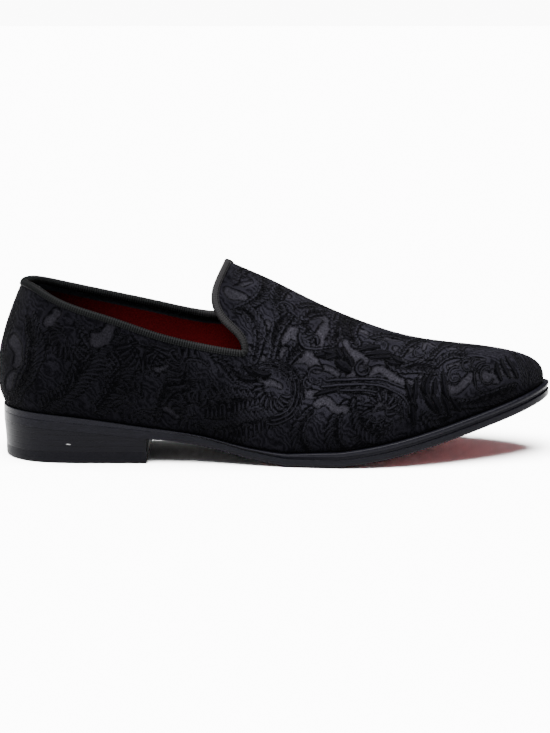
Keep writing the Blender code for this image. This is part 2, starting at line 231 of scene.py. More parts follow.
def share_at_height(place, height):
    """Share of each section at which it reaches a height."""
    low, high = np.zeros_like(place), np.ones_like(place)
    for _ in range(30):
        middle = (low + high) / 2
        under = last_point(place, middle)[..., 2] < height
        low, high = np.where(under, middle, low), np.where(under, high, middle)
    return low


# Cutting line of the upper. The quarters dip to the throat, where a small round turns the line
# up and back round the tab. The velvet, the lining and the binding all end on it.
THROAT_PLACE = 0.1322
THROAT_ROUND = 0.0012
THROAT_CORNER = 0.0012
TAB_REACH = 0.0170
# Share of the way up from the throat to the ridge, share of the tab's reach on each side.
TAB_ROWS = (
    (0.00, 0.02, 0.02), (0.05, 0.06, 0.06), (0.10, 0.24, 0.24), (0.16, 0.63, 0.60),
    (0.22, 0.85, 0.75), (0.29, 0.94, 0.80), (0.36, 0.945, 0.79), (0.48, 0.865, 0.70),
    (0.60, 0.755, 0.60), (0.72, 0.665, 0.52), (0.84, 0.595, 0.495), (0.93, 0.57, 0.535),
    (1.00, 0.565, 0.565),
)
tab_share = {
    OUTER: smooth_curve([row[0] for row in TAB_ROWS], [row[1] for row in TAB_ROWS]),
    INNER: smooth_curve([row[0] for row in TAB_ROWS], [row[2] for row in TAB_ROWS]),
}
THROAT = float(row_at(THROAT_PLACE, root_x))


def arc_lengths(points):
    return np.append(0, np.cumsum(np.linalg.norm(np.diff(points, axis=0), axis=1)))


def cutting_line(side):
    """Rows and shares of the rim of one half, from the back to the tab's middle."""
    quarter = np.linspace(0, THROAT, 500)
    shares = share_at_height(on_side(quarter, side), rim_height(on_side(quarter, side)))
    place = np.array([on_side(THROAT, side)])
    corner = share_at_height(place, rim_height(place) + THROAT_ROUND)[0]
    ups = np.linspace(0, 1, 300)
    rows = np.append(quarter, row_at(THROAT_PLACE - TAB_REACH * tab_share[side](ups), root_x))
    shares = np.append(shares, corner + ups * (1 - corner))
    run = arc_lengths(last_point(on_side(rows, side), shares))
    even = np.linspace(0, run[-1], 900)
    rows, shares = np.interp(even, run, rows), np.interp(even, run, shares)
    turn = even[np.argmax(rows)]
    window = np.arange(-3, 3.01, even[1] / THROAT_CORNER)
    weights = np.exp(-window ** 2 / 2)
    weights /= weights.sum()
    near = np.exp(-((even - turn) / (4 * THROAT_CORNER)) ** 2 / 2)
    near *= np.clip((even[-1] - even) / 0.01, 0, 1) * np.clip(even / 0.01, 0, 1)
    pad = len(window) // 2
    for values in (rows, shares):
        soft = np.convolve(np.pad(values, pad, mode="edge"), weights, mode="valid")[:len(even)]
        values += near * (soft - values)
    return rows, shares


CUTTING_LINES = {side: cutting_line(side) for side in (OUTER, INNER)}


def upper_patches(side, quarter_columns, vamp_columns, low_rows, high_rows):
    """Places and shares of one half of the upper: the quarter's patch, then the vamp's."""
    both = {}
    for one in (OUTER, INNER):
        rows, shares = CUTTING_LINES[one]
        turn = int(np.argmax(rows))
        low = np.linspace(0, shares[turn], low_rows + 1)
        both[one] = np.append(low, np.linspace(shares[turn], 1, high_rows + 1)[1:])
    rows, shares = CUTTING_LINES[side]
    turn = int(np.argmax(rows))
    columns = np.linspace(0, rows[turn], quarter_columns + 1)
    tops = np.interp(columns, rows[:turn + 1], shares[:turn + 1])
    quarter = (
        np.repeat(columns[:, None], low_rows + 1, axis=1),
        tops[:, None] * np.linspace(0, 1, low_rows + 1),
    )
    starts = np.interp(both[side], shares[turn:], rows[turn:])
    way = np.linspace(0, 1, vamp_columns + 1)[:, None]
    toe_shares = (both[OUTER] + both[INNER]) / 2
    vamp = (
        starts + way * (TOE - starts),
        both[side] + way * (toe_shares - both[side]),
    )
    return [(on_side(place, side), share) for place, share in (quarter, vamp)]


def grid_faces(columns, rows, flip, first=0, closed=False):
    """Faces of a grid of points, column by column."""
    i, j = np.meshgrid(np.arange(columns - (not closed)), np.arange(rows - 1), indexing="ij")
    here = first + i * rows + j
    there = first + (i + 1) % columns * rows + j
    corners = (here, there, there + 1, here + 1)
    faces = np.stack([corner.ravel() for corner in corners], axis=1)
    return faces[:, ::-1] if flip else faces


WELD = 0.00001


def new_piece(name, points, faces, fields, sharp=None):
    """An object of smooth faces, with doubled points joined and its fields kept on the mesh."""
    mesh = bpy.data.meshes.new(name)
    mesh.from_pydata(np.asarray(points).tolist(), [], [tuple(face) for face in faces])
    for key, values in fields.items():
        values = np.asarray(values, float)
        kind, slot = ("FLOAT_VECTOR", "vector") if values.ndim == 2 else ("FLOAT", "value")
        layer = mesh.attributes.new(key, kind, "POINT")
        layer.data.foreach_set(slot, values.ravel())
    build = bmesh.new()
    build.from_mesh(mesh)
    bmesh.ops.remove_doubles(build, verts=build.verts, dist=WELD)
    bmesh.ops.dissolve_degenerate(build, edges=build.edges, dist=WELD / 4)
    build.to_mesh(mesh)
    build.free()
    mesh.shade_smooth()
    if sharp:
        mesh.set_sharp_from_angle(angle=sharp)
    piece = bpy.data.objects.new(name, mesh)
    bpy.context.scene.collection.objects.link(piece)
    return piece


class Field:
    """What one socket of a material gives: a value, colour or vector that varies over a piece."""

    def __init__(self, socket):
        self.socket = socket

    def node(self, kind, settings=None, inputs=None, output=0):
        """Adds a node: its settings first, then the values or links of its sockets."""
        tree = self.socket.id_data
        made = tree.nodes.new(kind)
        for key, value in (settings or {}).items():
            setattr(made, key, value)
        for key, value in (inputs or {}).items():
            if isinstance(value, Field):
                tree.links.new(value.socket, made.inputs[key])
            else:
                made.inputs[key].default_value = value
        return Field(made.outputs[output])

    def maths(self, operation, *others):
        values = dict(enumerate((self, *others)))
        return self.node("ShaderNodeMath", {"operation": operation}, values)

    def __add__(self, other):
        return self.maths("ADD", other)

    __radd__ = __add__

    def __sub__(self, other):
        return self.maths("SUBTRACT", other)

    def __rsub__(self, other):
        return self.node("ShaderNodeMath", {"operation": "SUBTRACT"}, {0: other, 1: self})

    def __mul__(self, other):
        return self.maths("MULTIPLY", other)

    __rmul__ = __mul__

    def between(self, low, high):
        """0 at low, 1 at high, with a soft step between them."""
        settings = {"interpolation_type": "SMOOTHSTEP"}
        return self.node("ShaderNodeMapRange", settings, {0: self, 1: low, 2: high})

    def blend(self, low, high):
        """A colour between two, by this value."""
        inputs = {"Factor": self}
        for key, colour in ((6, low), (7, high)):
            inputs[key] = colour if isinstance(colour, Field) else (*colour, 1)
        return self.node("ShaderNodeMix", {"data_type": "RGBA"}, inputs, output=2)

    def noise(self, scale, detail, roughness):
        inputs = {"Vector": self, "Scale": scale, "Detail": detail, "Roughness": roughness}
        return self.node("ShaderNodeTexNoise", None, inputs)

    def stretched(self, x, y, z):
        """A vector's parts, each times a number of its own."""
        return self.node("ShaderNodeVectorMath", {"operation": "MULTIPLY"}, {0: self, 1: (x, y, z)})

    def part(self, axis):
        return self.node("ShaderNodeSeparateXYZ", None, {0: self}, output="XYZ".index(axis))

    def kept_on_mesh(self, key, vector=False):
        """A value, or a vector, that new_piece kept for every point."""
        settings = {"attribute_name": key}
        return self.node("ShaderNodeAttribute", settings, None, output=1 if vector else 2)


def new_finish(name):
    """A new material, and the place on the object in millimetres, to build its fields from."""
    material = bpy.data.materials.new(name)
    material.use_nodes = True
    coordinates = material.node_tree.nodes.new("ShaderNodeTexCoord")
    place = Field(coordinates.outputs["Object"]).stretched(1000, 1000, 1000)
    return material, place


def dress(piece, material, colour, roughness, relief, depth, constants):
    """Puts a material on a piece: colour, roughness and relief may vary, the constants don't."""
    tree = material.node_tree
    shader = tree.nodes["Principled BSDF"]
    for key, value in {"Base Color": colour, "Roughness": roughness, **constants}.items():
        if isinstance(value, Field):
            tree.links.new(value.socket, shader.inputs[key])
        else:
            shader.inputs[key].default_value = value
    if relief:
        bump = relief.node("ShaderNodeBump", None, {"Height": relief, "Distance": depth})
        tree.links.new(bump.socket, shader.inputs["Normal"])
    piece.data.materials.clear()
    piece.data.materials.append(material)


# Pattern of the velvet. Scrolls, leaves and fans of uncut pile stand on a flat charcoal ground.
# It is charted as if the upper lay flat: millimetres from the middle of the back, along the
# shoe, and up from the welt. The inner side carries the same pattern, mirrored.
CHART_ROWS = np.linspace(0, TOE, 361)
CHART_SHARES = np.linspace(0, 1, 201)
CHART_MID_SHARE = 0.35


def chart_tables():
    """Millimetres along the shoe, and up each side of it, for a net of places on the last."""
    tables = {}
    mid = last_point(CHART_ROWS, CHART_MID_SHARE)
    along = arc_lengths(mid) * 1000
    for side in (OUTER, INNER):
        points = last_point(on_side(CHART_ROWS, side)[:, None], CHART_SHARES[None, :])
        steps = np.linalg.norm(np.diff(points, axis=1), axis=2)
        tables[side] = np.pad(np.cumsum(steps, axis=1), ((0, 0), (1, 0))) * 1000
    tables[INNER] *= tables[OUTER][:, -1:] / tables[INNER][:, -1:]
    return along, tables


CHART_ALONG, CHART_UP = chart_tables()


def chart(place, share, side):
    """Millimetres along and up the flat upper, for places on the last."""
    row = on_side(place, side) / TOE * (len(CHART_ROWS) - 1)
    column = share * (len(CHART_SHARES) - 1)
    i = np.clip(row.astype(int), 0, len(CHART_ROWS) - 2)
    j = np.clip(column.astype(int), 0, len(CHART_SHARES) - 2)
    ahead, above = row - i, column - j
    table = CHART_UP[side]
    up = (
        (1 - ahead) * (1 - above) * table[i, j] + ahead * (1 - above) * table[i + 1, j]
        + (1 - ahead) * above * table[i, j + 1] + ahead * above * table[i + 1, j + 1]
    )
    along = CHART_ALONG[i] * (1 - ahead) + CHART_ALONG[i + 1] * ahead
    return along, up


def curl(x, y, radius, start, sweep, thick, thin, inner=0.25):
    """A scroll that winds in from its radius: angles in degrees, widths at both ends."""
    turns = np.radians(np.linspace(start, start + sweep, 48))
    way = np.linspace(0, 1, 48)
    reach = radius * (1 - (1 - inner) * way)
    line = np.stack([x + reach * np.cos(turns), y + reach * np.sin(turns)], axis=1)
    return line, (thick + (thin - thick) * way) / 2


def leaf(x, y, angle, length, width, bend=0.0):
    """A lobe that grows from a point, widest past its middle, and bends as it goes."""
    way = np.linspace(0, 1, 20)
    turn = np.radians(angle + bend * way)
    steps = np.stack([np.cos(turn), np.sin(turn)], axis=1) * length / 19
    line = np.array([x, y]) + np.cumsum(steps, axis=0) - steps[0]
    return line, width / 2 * (0.3 + 0.7 * np.sin(np.pi * way ** 1.2) ** 0.7)


def stem(points, thick, thin):
    """A tapering stem through a few points."""
    points = np.array(points, float)
    knots = np.arange(len(points))
    curves = [smooth_curve(knots, points[:, k]) for k in (0, 1)]
    way = np.linspace(0, 1, 12 * len(points))
    line = np.stack([curve(way * knots[-1]) for curve in curves], axis=1)
    return line, (thick + (thin - thick) * way) / 2


def fan(x, y, first, last, count, near, length, width, bend=0.0):
    """Leaves side by side round a point, from one angle to another."""
    leaves = []
    for angle in np.linspace(first, last, count):
        turn = np.radians(angle)
        foot = x + near * np.cos(turn), y + near * np.sin(turn)
        leaves.append(leaf(*foot, angle, length, width, bend))
    return leaves


LOBE_WIDTH = 3.4
LOBE_SPACING = 2.5


def plume(points, length, lean=50, bend=40, sides=(-1, 1)):
    """A stem with lobes close together along it, that shorten to its tip and curl over."""
    line, _ = stem(points, 1, 1)
    run = arc_lengths(line)
    count = max(2, round(run[-1] / LOBE_SPACING))
    lobes = []
    for k in range(count):
        way = 1 - (k + 0.5) / count
        spots = [
            np.array([np.interp(way * run[-1] + step, run, line[:, axis]) for axis in (0, 1)])
            for step in (-1, 0, 1)
        ]
        heading = np.degrees(np.arctan2(*(spots[2] - spots[0])[::-1]))
        size = length * (0.5 + 0.5 * np.sin(np.pi * min(1.0, 1.2 * (1 - way) + 0.12)))
        for side in sides:
            lobes.append(leaf(*spots[1], heading + side * lean, size, LOBE_WIDTH, -side * bend))
    lobes.append(stem(points, 1.5, 0.9))
    return lobes


# Where the flat ground shows between the lobes: points of each gap's middle, width at each end.
OPENINGS = (
    (((151, 55), (156, 51), (162, 51)), 4, 3),
    (((167, 61), (171, 65), (174, 70)), 6, 5),
    (((171, 54), (178, 53), (184, 51), (187, 46)), 9, 6),
    (((188, 60), (190, 66), (193, 73)), 7, 5),
    (((202.5, 68), (204, 60), (207, 54), (212, 49)), 1.6, 8),
    (((210, 50), (207, 45), (206, 40)), 7, 5),
    (((186, 45), (192, 46), (199, 42)), 3.5, 3),
    (((178, 36), (182, 33), (187, 32)), 7, 4),
    (((212, 39), (219, 41.5), (224, 40), (228, 36), (234, 31)), 5, 4),
    (((229, 47), (234, 44), (240, 40), (247, 41)), 4.5, 3),
    (((156, 36), (162, 38), (167, 37)), 4, 3),
    (((188, 27), (193, 28), (197, 24), (203, 23)), 5, 4),
    (((218, 22), (224, 22), (230, 20)), 6, 5),
    (((237, 31), (242, 27)), 2, 3),
    (((244, 31), (250, 29)), 2.5, 2.5),
    (((251, 39), (256, 37), (262, 40)), 4, 3),
    (((258, 21), (264, 17), (270, 20), (278, 20), (287, 15)), 4, 6),
    (((262, 31), (270, 31), (280, 30.5), (288, 28)), 2.5, 2),
    (((288, 18), (294, 16), (299, 12)), 4.5, 3),
    (((237, 23), (240, 15)), 3, 2),
    (((247, 17), (252, 10)), 2, 2),
    (((139, 84), (146, 84), (152, 80)), 7, 2.5),
    (((175, 64), (180, 74), (184, 84)), 4, 2),
    (((160, 71), (163, 64), (165, 58)), 3, 2),
    (((184, 78), (190, 80), (194, 75)), 5, 4),
    (((146, 92), (151, 96)), 3, 1.5),
    (((199.5, 62), (199, 70), (200, 80)), 1.2, 1.0),
    (((195, 60), (194.6, 68), (196, 78)), 1.4, 1.0),
    (((208, 72), (214, 70), (220, 64)), 4, 3),
    (((232, 54), (238, 50), (244, 54)), 4, 3),
    (((226, 64), (234, 62)), 3, 3),
    (((250, 50), (254, 56), (258, 50)), 3, 3),
    (((160, 92), (166, 96), (172, 92)), 3, 4),
    (((67, 44), (71, 47), (75, 53)), 8, 6),
    (((20, 38), (25, 32), (23, 25)), 8, 4),
    (((41, 51), (44, 57)), 6, 5),
    (((17, 12), (22, 20)), 5, 4),
    (((67, 44), (64, 48)), 6, 2),
    (((75, 53), (80, 55)), 5, 2),
    (((103, 12), (110, 9)), 4, 2),
    (((98, 34), (105, 36)), 3, 2),
    (((306, 8), (312, 20), (322, 28)), 2, 2),
    (((270, 44), (282, 42)), 3, 2),
)
# The other tables name a way of drawing, then its values.
# Long plumes and fans that fill the quarter and the lower vamp like feathers.
FEATHERS = (
    (plume, ((14, 2), (24, 10), (31, 22), (34, 34), (30, 50)), 10),
    (plume, ((4, 12), (9, 26), (11, 40), (12, 56)), 8),
    (plume, ((36, 2), (48, 12), (58, 24), (66, 38), (80, 50)), 12, 38, -30),
    (plume, ((64, 4), (74, 16), (80, 30), (88, 44)), 11, 40, -30),
    (plume, ((98, 2), (100, 14), (106, 24), (114, 30)), 9),
    (plume, ((168, 22), (156, 17), (144, 12), (130, 5)), 12, 50, -35),
    (plume, ((164, 29), (150, 28), (138, 24), (126, 17)), 9, 50, -30),
    (plume, ((188, 26), (181, 20), (178, 12), (180, 3)), 9),
    (plume, ((206, 28), (199, 20), (197, 11), (200, 2)), 9),
    (plume, ((228, 12), (220, 6), (210, 4)), 8),
    (plume, ((258, 12), (268, 8), (280, 6), (294, 5)), 8),
    (plume, ((244, 12), (248, 6), (256, 3)), 7),
    (fan, 93, 47, 190, 345, 13, 3, 15, 3.4, 28),
    (fan, 52, 44, 130, 320, 12, 5, 9, 3.0, 40),
    (fan, 120, 35, 100, 340, 14, 8, 10, 3.2, -40),
    (fan, 86, 14, 60, 330, 12, 5, 8, 3.0, 40),
    (fan, 118, 13, 40, 300, 11, 5, 8, 3.0, 40),
    (curl, 120, 35, 8.5, 30, 380, 2.4, 1.6, 0.15),
    (curl, 45, 41, 6.5, 0, 330, 2.4, 1.5, 0.2),
    (curl, 86, 14, 5.5, 30, 320, 2.2, 1.5, 0.2),
    (curl, 118, 13, 5.5, 60, 320, 2.2, 1.5, 0.2),
    (plume, ((128, 47), (136, 44), (143, 38)), 6),
    (plume, ((54, 53), (60, 47), (66, 40)), 6),
)
# Radii of the ribs round the toe.
TOE_RIBS = (9, 12.4, 15.2, 18.8, 21.6, 25.4, 28.2)
# Scrolls, plumes and leaves with ribs of their own.
MOTIFS = (
    # the tab and the top of the vamp
    (plume, ((140, 74), (148, 78), (156, 86), (160, 98), (158, 110)), 9, 55, 45),
    (plume, ((178, 72), (170, 78), (166, 88), (170, 100)), 8, 55, 45),
    (plume, ((141, 90), (144, 100), (150, 110)), 6),
    (plume, ((176, 84), (184, 89), (193, 90), (202, 88)), 8),
    (curl, 169, 82, 5.2, 0, 330, 3.0, 1.6, 0.3),
    (curl, 150, 101, 5, 90, 300, 2.6, 1.5, 0.3),
    (plume, ((212, 56), (208, 64), (208, 74), (212, 84)), 10, 50, 40),
    (plume, ((216, 64), (226, 68), (236, 66), (246, 60)), 9),
    (plume, ((232, 46), (238, 54), (246, 60), (256, 62)), 8),
    (plume, ((250, 40), (258, 46), (268, 50), (282, 52)), 9),
    (plume, ((262, 58), (274, 60), (288, 58), (302, 54)), 8),
    (plume, ((276, 40), (288, 44), (300, 44), (312, 42)), 8),
    # the great scroll under the throat: plumes over it, then its ribbed turns
    (plume, ((151, 45), (154, 54), (155, 64), (150, 74)), 10, 45, 45),
    (plume, ((160, 45), (163, 55), (165, 65), (170, 74)), 9, 45, 45),
    (plume, ((168, 43), (172, 51), (177, 57)), 7),
    (curl, 162, 35, 19, -95, 150, 2.3, 1.6, 0.9),
    (curl, 162, 35, 16.6, -88, 190, 2.3, 1.6, 0.9),
    (curl, 162, 35, 14.2, -80, 225, 2.3, 1.6, 0.9),
    (curl, 162, 35, 11.8, -70, 240, 2.3, 1.6, 0.9),
    (fan, 163, 35, 165, 330, 10, 5, 7, 3.0, 40),
    # the second scroll and the long ribbed leaf over it
    (plume, ((208, 30), (209, 22), (212, 13), (219, 6)), 7, 60, 30),
    (plume, ((197, 35), (206, 34), (216, 32), (226, 28), (234, 18)), 7, 65, 40, (-1,)),
    (stem, ((189, 33), (203, 33), (214, 31), (225, 26), (232, 18), (233, 10)), 2.2, 1.8),
    (stem, ((190, 36), (204, 36), (216, 34), (227, 29), (235, 21), (237, 12)), 2.6, 2.0),
    (stem, ((193, 39), (205, 38.6), (217, 37), (228, 32.5), (237, 25), (240, 15)), 2.8, 1.8),
    (fan, 221, 19, -150, 170, 12, 4, 6, 2.8, 40),
    (curl, 221, 18, 6, 200, 300, 2.0, 1.4, 0.3),
    # leaves and small scrolls between the two
    (curl, 187, 41, 5.6, 60, 250, 3.0, 1.8, 0.5),
    (curl, 183, 38, 3.6, 120, 220, 2.6, 1.6, 0.5),
    # the upright tuft
    (curl, 184, 63, 6.5, 100, 170, 3.6, 2.6, 0.9),
    (stem, ((181, 57.5), (187, 56.6), (195, 58)), 3.2, 2.0),
    (fan, 187, 66, 150, 290, 5, 1, 6, 3.0, -30),
    (plume, ((182, 66), (180, 72), (184, 80), (192, 84)), 6),
    (plume, ((197.5, 56), (197, 66), (197.5, 76), (200, 88)), 5, 25, 10),
    # the upper middle
    (curl, 222, 58, 6, -100, 250, 3.4, 1.8, 0.4),
    (curl, 213.5, 43.5, 5.2, 110, 360, 2.8, 1.6, 0.2),
    (plume, ((226, 50), (228, 44), (233, 39.5), (242, 37.5), (253, 33)), 7, 55, 45),
    (curl, 247, 47, 5, 100, 280, 2.8, 1.6, 0.4),
    (plume, ((252, 34), (260, 37), (268, 38), (277, 35)), 6),
    # the comb of lobes towards the toe
    (curl, 264.5, 24.5, 5.6, 60, 360, 2.6, 1.5, 0.2),
    (curl, 274, 27, 4.8, 60, 320, 2.4, 1.4, 0.2),
    (curl, 283, 17, 9, 70, 160, 2.2, 1.6, 0.9),
    (curl, 283, 17, 6.2, 60, 260, 2.4, 1.5, 0.4),
    (curl, 281, 25.5, 4.8, 50, 170, 2.4, 1.5, 0.8),
    # the ribbed fan round the toe
    *((curl, 330, 2, reach, 172, -70, 2.2, 1.2, 1.0) for reach in TOE_RIBS),
)
# Smooth lobes in which the pile lies so that it looks black.
DARK_LOBES = (
    # left of the great scroll
    (leaf, 143, 40, -30, 12, 4.0, 55),
    (leaf, 147, 45, -45, 13, 4.6, 60),
    (leaf, 152, 44, -40, 10, 4.6, 60),
    # between the two scrolls
    (leaf, 186, 31.5, 20, 14, 3.4, -20),
    # round the upright tuft
    (plume, ((207, 62), (204.5, 68), (204, 76), (207, 86)), 8, 30, 10),
    (leaf, 187, 53, 8, 15, 6.4, 10),
    (leaf, 190, 56, -20, 12, 4.4, 30),
    (leaf, 192, 51, 10, 11, 4.0, 30),
    (leaf, 198, 58, -60, 10, 4.8, -10),
    (leaf, 202, 58, -78, 12, 4.0, 0),
    (leaf, 198, 50, -45, 10, 6.4, 10),
    (leaf, 204, 53, -70, 8, 3.6, 0),
    # the upper middle
    (leaf, 211, 55, 20, 12, 4.6, -20),
    (leaf, 214, 52, 5, 15, 4.4, -20),
    (leaf, 217, 49, 5, 12, 3.8, -20),
    (leaf, 225, 47, -50, 11, 4.2, 50),
    (leaf, 229, 49, -60, 9, 3.8, 40),
    # the comb of lobes towards the toe
    (leaf, 238, 19, -82, 13, 3.8, 0),
    (leaf, 244, 22, -50, 15, 3.8, -20),
    (leaf, 249, 20, -60, 14, 3.8, -20),
    (leaf, 255, 18, -65, 14, 3.8, -15),
    (leaf, 260, 14, -60, 10, 3.4, 0),
    (leaf, 236, 31, -78, 16, 3.8, 5),
    (leaf, 241, 31, -80, 13, 3.8, -35),
    (leaf, 246.5, 31, -120, 10, 3.6, 50),
    (leaf, 252, 32, -150, 15, 4.0, 80),
    (leaf, 253, 28, -110, 10, 3.6, 20),
    (leaf, 258, 31, -105, 18, 4.0, 35),
    (leaf, 294, 23, -150, 12, 3.4, 70),
    (leaf, 300, 24, -150, 14, 3.6, 70),
    (leaf, 306, 25, -140, 17, 3.6, 50),
)


def drawn(kind, rows):
    """The strokes of a table, each with its kind, in the order they are drawn."""
    strokes = []
    for draw, *values in rows:
        made = draw(*values)
        strokes += made if isinstance(made, list) else [made]
    return [(kind, *stroke) for stroke in strokes]


LAYERS = drawn("pile", FEATHERS) + drawn("ground", [(stem, *row) for row in OPENINGS])
LAYERS += drawn("pile", MOTIFS) + drawn("dark", DARK_LOBES)
# How far from a stroke its fields still count, in millimetres.
PATTERN_REACH = 3.0


def pattern_fields(along, up):
    """How far inside the pile each point lies, its distance across its stroke, and how dark it is.

    A later stroke lies over the earlier ones, so every lobe keeps its own outline.
    """
    inside = np.full(along.shape, PATTERN_REACH)
    across = np.zeros(along.shape)
    dark = np.zeros(along.shape)
    for kind, line, widths in LAYERS:
        margin = widths.max() + PATTERN_REACH
        low, high = line.min(axis=0) - margin, line.max(axis=0) + margin
        near = (along > low[0]) & (along < high[0]) & (up > low[1]) & (up < high[1])
        where = np.nonzero(near)[0]
        if not len(where):
            continue
        spots = np.stack([along[where], up[where]], axis=1)
        starts, runs = line[:-1], np.diff(line, axis=0)
        offsets = spots[:, None, :] - starts
        way = np.clip((offsets * runs).sum(2) / np.maximum((runs ** 2).sum(1), 1e-9), 0, 1)
        gaps = np.linalg.norm(offsets - way[..., None] * runs, axis=2)
        depths = widths[:-1] + way * np.diff(widths) - gaps
        best = np.argmax(depths, axis=1)
        rank = np.arange(len(where))
        depth = depths[rank, best]
        cross = runs[best, 0] * offsets[rank, best, 1] - runs[best, 1] * offsets[rank, best, 0]
        if kind == "ground":
            inside[where] = np.minimum(inside[where], -depth)
            continue
        wins = (depth > 0) | ((inside[where] < 0) & (depth > inside[where]))
        inside[where[wins]] = depth[wins]
        across[where[wins]] = (np.sign(cross) * gaps[rank, best])[wins]
        dark[where[wins]] = kind == "dark"
    return inside, across, dark


def hand_drawn(along, up):
    """The chart bent a little, most on the quarter, so that no line in it runs quite true."""
    bent = np.interp(along, (125, 150), (0.55, 0.2))
    wave_along = 0.9 * np.sin(0.31 * up + 0.13 * along) + 0.6 * np.sin(0.55 * up - 0.21 * along + 2)
    wave_up = 0.9 * np.sin(0.29 * along - 0.11 * up + 1) + 0.6 * np.sin(0.53 * along + 0.17 * up)
    return along + bent * wave_along, up + bent * wave_up


def painted_cloth_light(along, up):
    """Painted light and shade on the cloth: darker over the quarter, low down and near the welt, and
    lighter over the vamp.
    """
    forward = np.interp(along, (0, 110, 140, 158, 290, 304), (0.29, 0.31, 0.55, 0.90, 0.92, 0.92))
    lit_higher_up = np.interp(up, (0, 8, 24, 34), (0.34, 0.40, 0.84, 1.0))
    welt_shade = np.interp(up, (0.5, 3.0), (0.2, 1.0))
    return forward * welt_shade * np.where(along > 120, lit_higher_up, 0.6 + 0.4 * lit_higher_up)


# The velvet. One cut of black figured velvet makes the whole outside of the shoe, seamed at the
# back, drawn down over the last and tucked in at the welt. The pile stands above the ground.
PILE_RISE = 0.00035
# columns of the quarter and of the vamp, rows below and above the level of the throat
VELVET_GRID = (150, 225, 78, 90)


def velvet_points():
    """Points and faces of the cloth, and for each point its place in the pattern."""
    names = "inside_pile", "across_stroke", "dark_lobe", "painted_cloth_light", "flat_chart"
    points, faces, kept = [], [], []
    first = 0
    for side in (OUTER, INNER):
        for place, share in upper_patches(side, *VELVET_GRID):
            along, up = (values.ravel() for values in chart(place, share, side))
            inside, across, dark = pattern_fields(*hand_drawn(along, up))
            flat_place = np.stack([along, up, along * 0], axis=1)
            kept.append((inside, across, dark, painted_cloth_light(along, up), flat_place))
            stand = PILE_RISE * np.clip(inside / 0.8 + 0.5, 0, 1).reshape(*place.shape, 1)
            spots = last_point(place, share) + last_normal(place, share) * stand
            points.append(spots.reshape(-1, 3))
            faces.append(grid_faces(*place.shape, side == INNER, first))
            first += place.size
    fields = {name: np.concatenate(values) for name, values in zip(names, zip(*kept))}
    return np.concatenate(points), np.concatenate(faces), fields


velvet = new_piece("velvet_upper", *velvet_points())
velvet_finish, place_mm = new_finish("cut_velvet")
flat = place_mm.kept_on_mesh("flat_chart", vector=True)
inside_pile = place_mm.kept_on_mesh("inside_pile")
across_stroke = place_mm.kept_on_mesh("across_stroke")
painted_lightness = place_mm.kept_on_mesh("painted_cloth_light")
dark_lobe = place_mm.kept_on_mesh("dark_lobe")
fuzz = flat.noise(1.7, 3, 0.7)
wander = flat.noise(0.35, 2, 0.5)
grain = flat.noise(0.95, 2, 0.6)
# where the pile stands, with a torn edge, and a line of painted shade inside its outline, also sunk
# in the relief
torn_edge = inside_pile + (fuzz - 0.5) * 1.2 + (grain - 0.5) * 3.6 + (wander - 0.5) * 3
pile = torn_edge.between(-1.0, 0.4)
edge_shade_and_groove = pile * (1 - (inside_pile + (fuzz - 0.5) * 0.9).between(0.30, 0.90))
# fine ribs along each lobe, and swirls in the middle of the wide ones
deep_pile = inside_pile.between(2.0, 2.6)
feather = (across_stroke * 4.2 + wander * 3).maths("SINE") * 0.5 + 0.5
swirl = flat.node(
    "ShaderNodeTexWave", {"wave_type": "BANDS", "bands_direction": "DIAGONAL"},
    {"Vector": flat, "Scale": 0.13, "Distortion": 16, "Detail": 3, "Detail Scale": 0.9}, output=1,
)
ribs = deep_pile * (swirl - feather) + feather
# the ground's speckle, and the pile's colour, with painted light and shade that rolls from one side
# of a lobe to the other
ground_light = (grain * 1.6 + fuzz * 0.8 + wander * 0.3 - 0.35).between(0.55, 1.35)
ground_colour = ground_light.blend((0.00195, 0.00186, 0.00240), (0.0084, 0.0080, 0.0100))
painted_roll_light = (across_stroke * 0.26).maths("MINIMUM", 0.42).maths("MAXIMUM", -0.42)
pile_light = (ribs * 0.45 + fuzz * 0.5 + grain * 0.7 + painted_roll_light - 0.1).between(0.30, 1.10)
pile_colour = pile_light.blend((0.00040, 0.00039, 0.00055), (0.00400, 0.00382, 0.00515))
pile_colour = (dark_lobe * 0.65).blend(pile_colour, (0.00022, 0.00022, 0.00030))
# painted shade along the pile's outline
pile_colour = (edge_shade_and_groove * 0.95).blend(pile_colour, (0.00010, 0.00010, 0.00015))
full_colour = pile.blend(ground_colour, pile_colour)
# painted shade: the cloth is darker over the quarter and near the welt, and lighter or darker in soft
# patches
patches = flat.noise(0.055, 3, 0.55).between(0.35, 0.65) * 0.55 + 0.80
painted_shade = (1 - painted_lightness * patches).maths("MAXIMUM", 0) * (pile * 0.15 + 0.85)
velvet_colour = painted_shade.blend(full_colour, (0.00015, 0.00015, 0.00024))
velvet_relief = pile * 0.5 - edge_shade_and_groove * 0.45 + ribs * pile * 0.2 + fuzz * 0.45
dress(
    velvet, velvet_finish, velvet_colour, 0.85, velvet_relief, 0.0009,
    {"Sheen Weight": 0.004, "Sheen Roughness": 0.4, "Specular IOR Level": 0.003},
)
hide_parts("upper")
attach(velvet, "root")

# The lining. Dark red leather, glued inside the velvet, with a narrow black band sewn round the
# top of it, just below the tape.
WALL = 0.0020
LINING_GRID = (60, 70, 22, 22)


def lining_points():
    """Points and faces of the lining, and how far below its upper end each point lies, in mm."""
    points, faces, depths = [], [], []
    first = 0
    for side in (OUTER, INNER):
        for place, share in upper_patches(side, *LINING_GRID):
            spots = last_point(place, share) - last_normal(place, share) * WALL
            points.append(spots.reshape(-1, 3))
            faces.append(grid_faces(*place.shape, side == OUTER, first))
            run = np.linalg.norm(np.diff(spots[:, ::-1], axis=1), axis=2)
            below = np.pad(np.cumsum(run, axis=1), ((0, 0), (1, 0)))[:, ::-1] * 1000
            depths.append(below.ravel())
            first += place.size
    return np.concatenate(points), np.concatenate(faces), {"below_rim": np.concatenate(depths)}


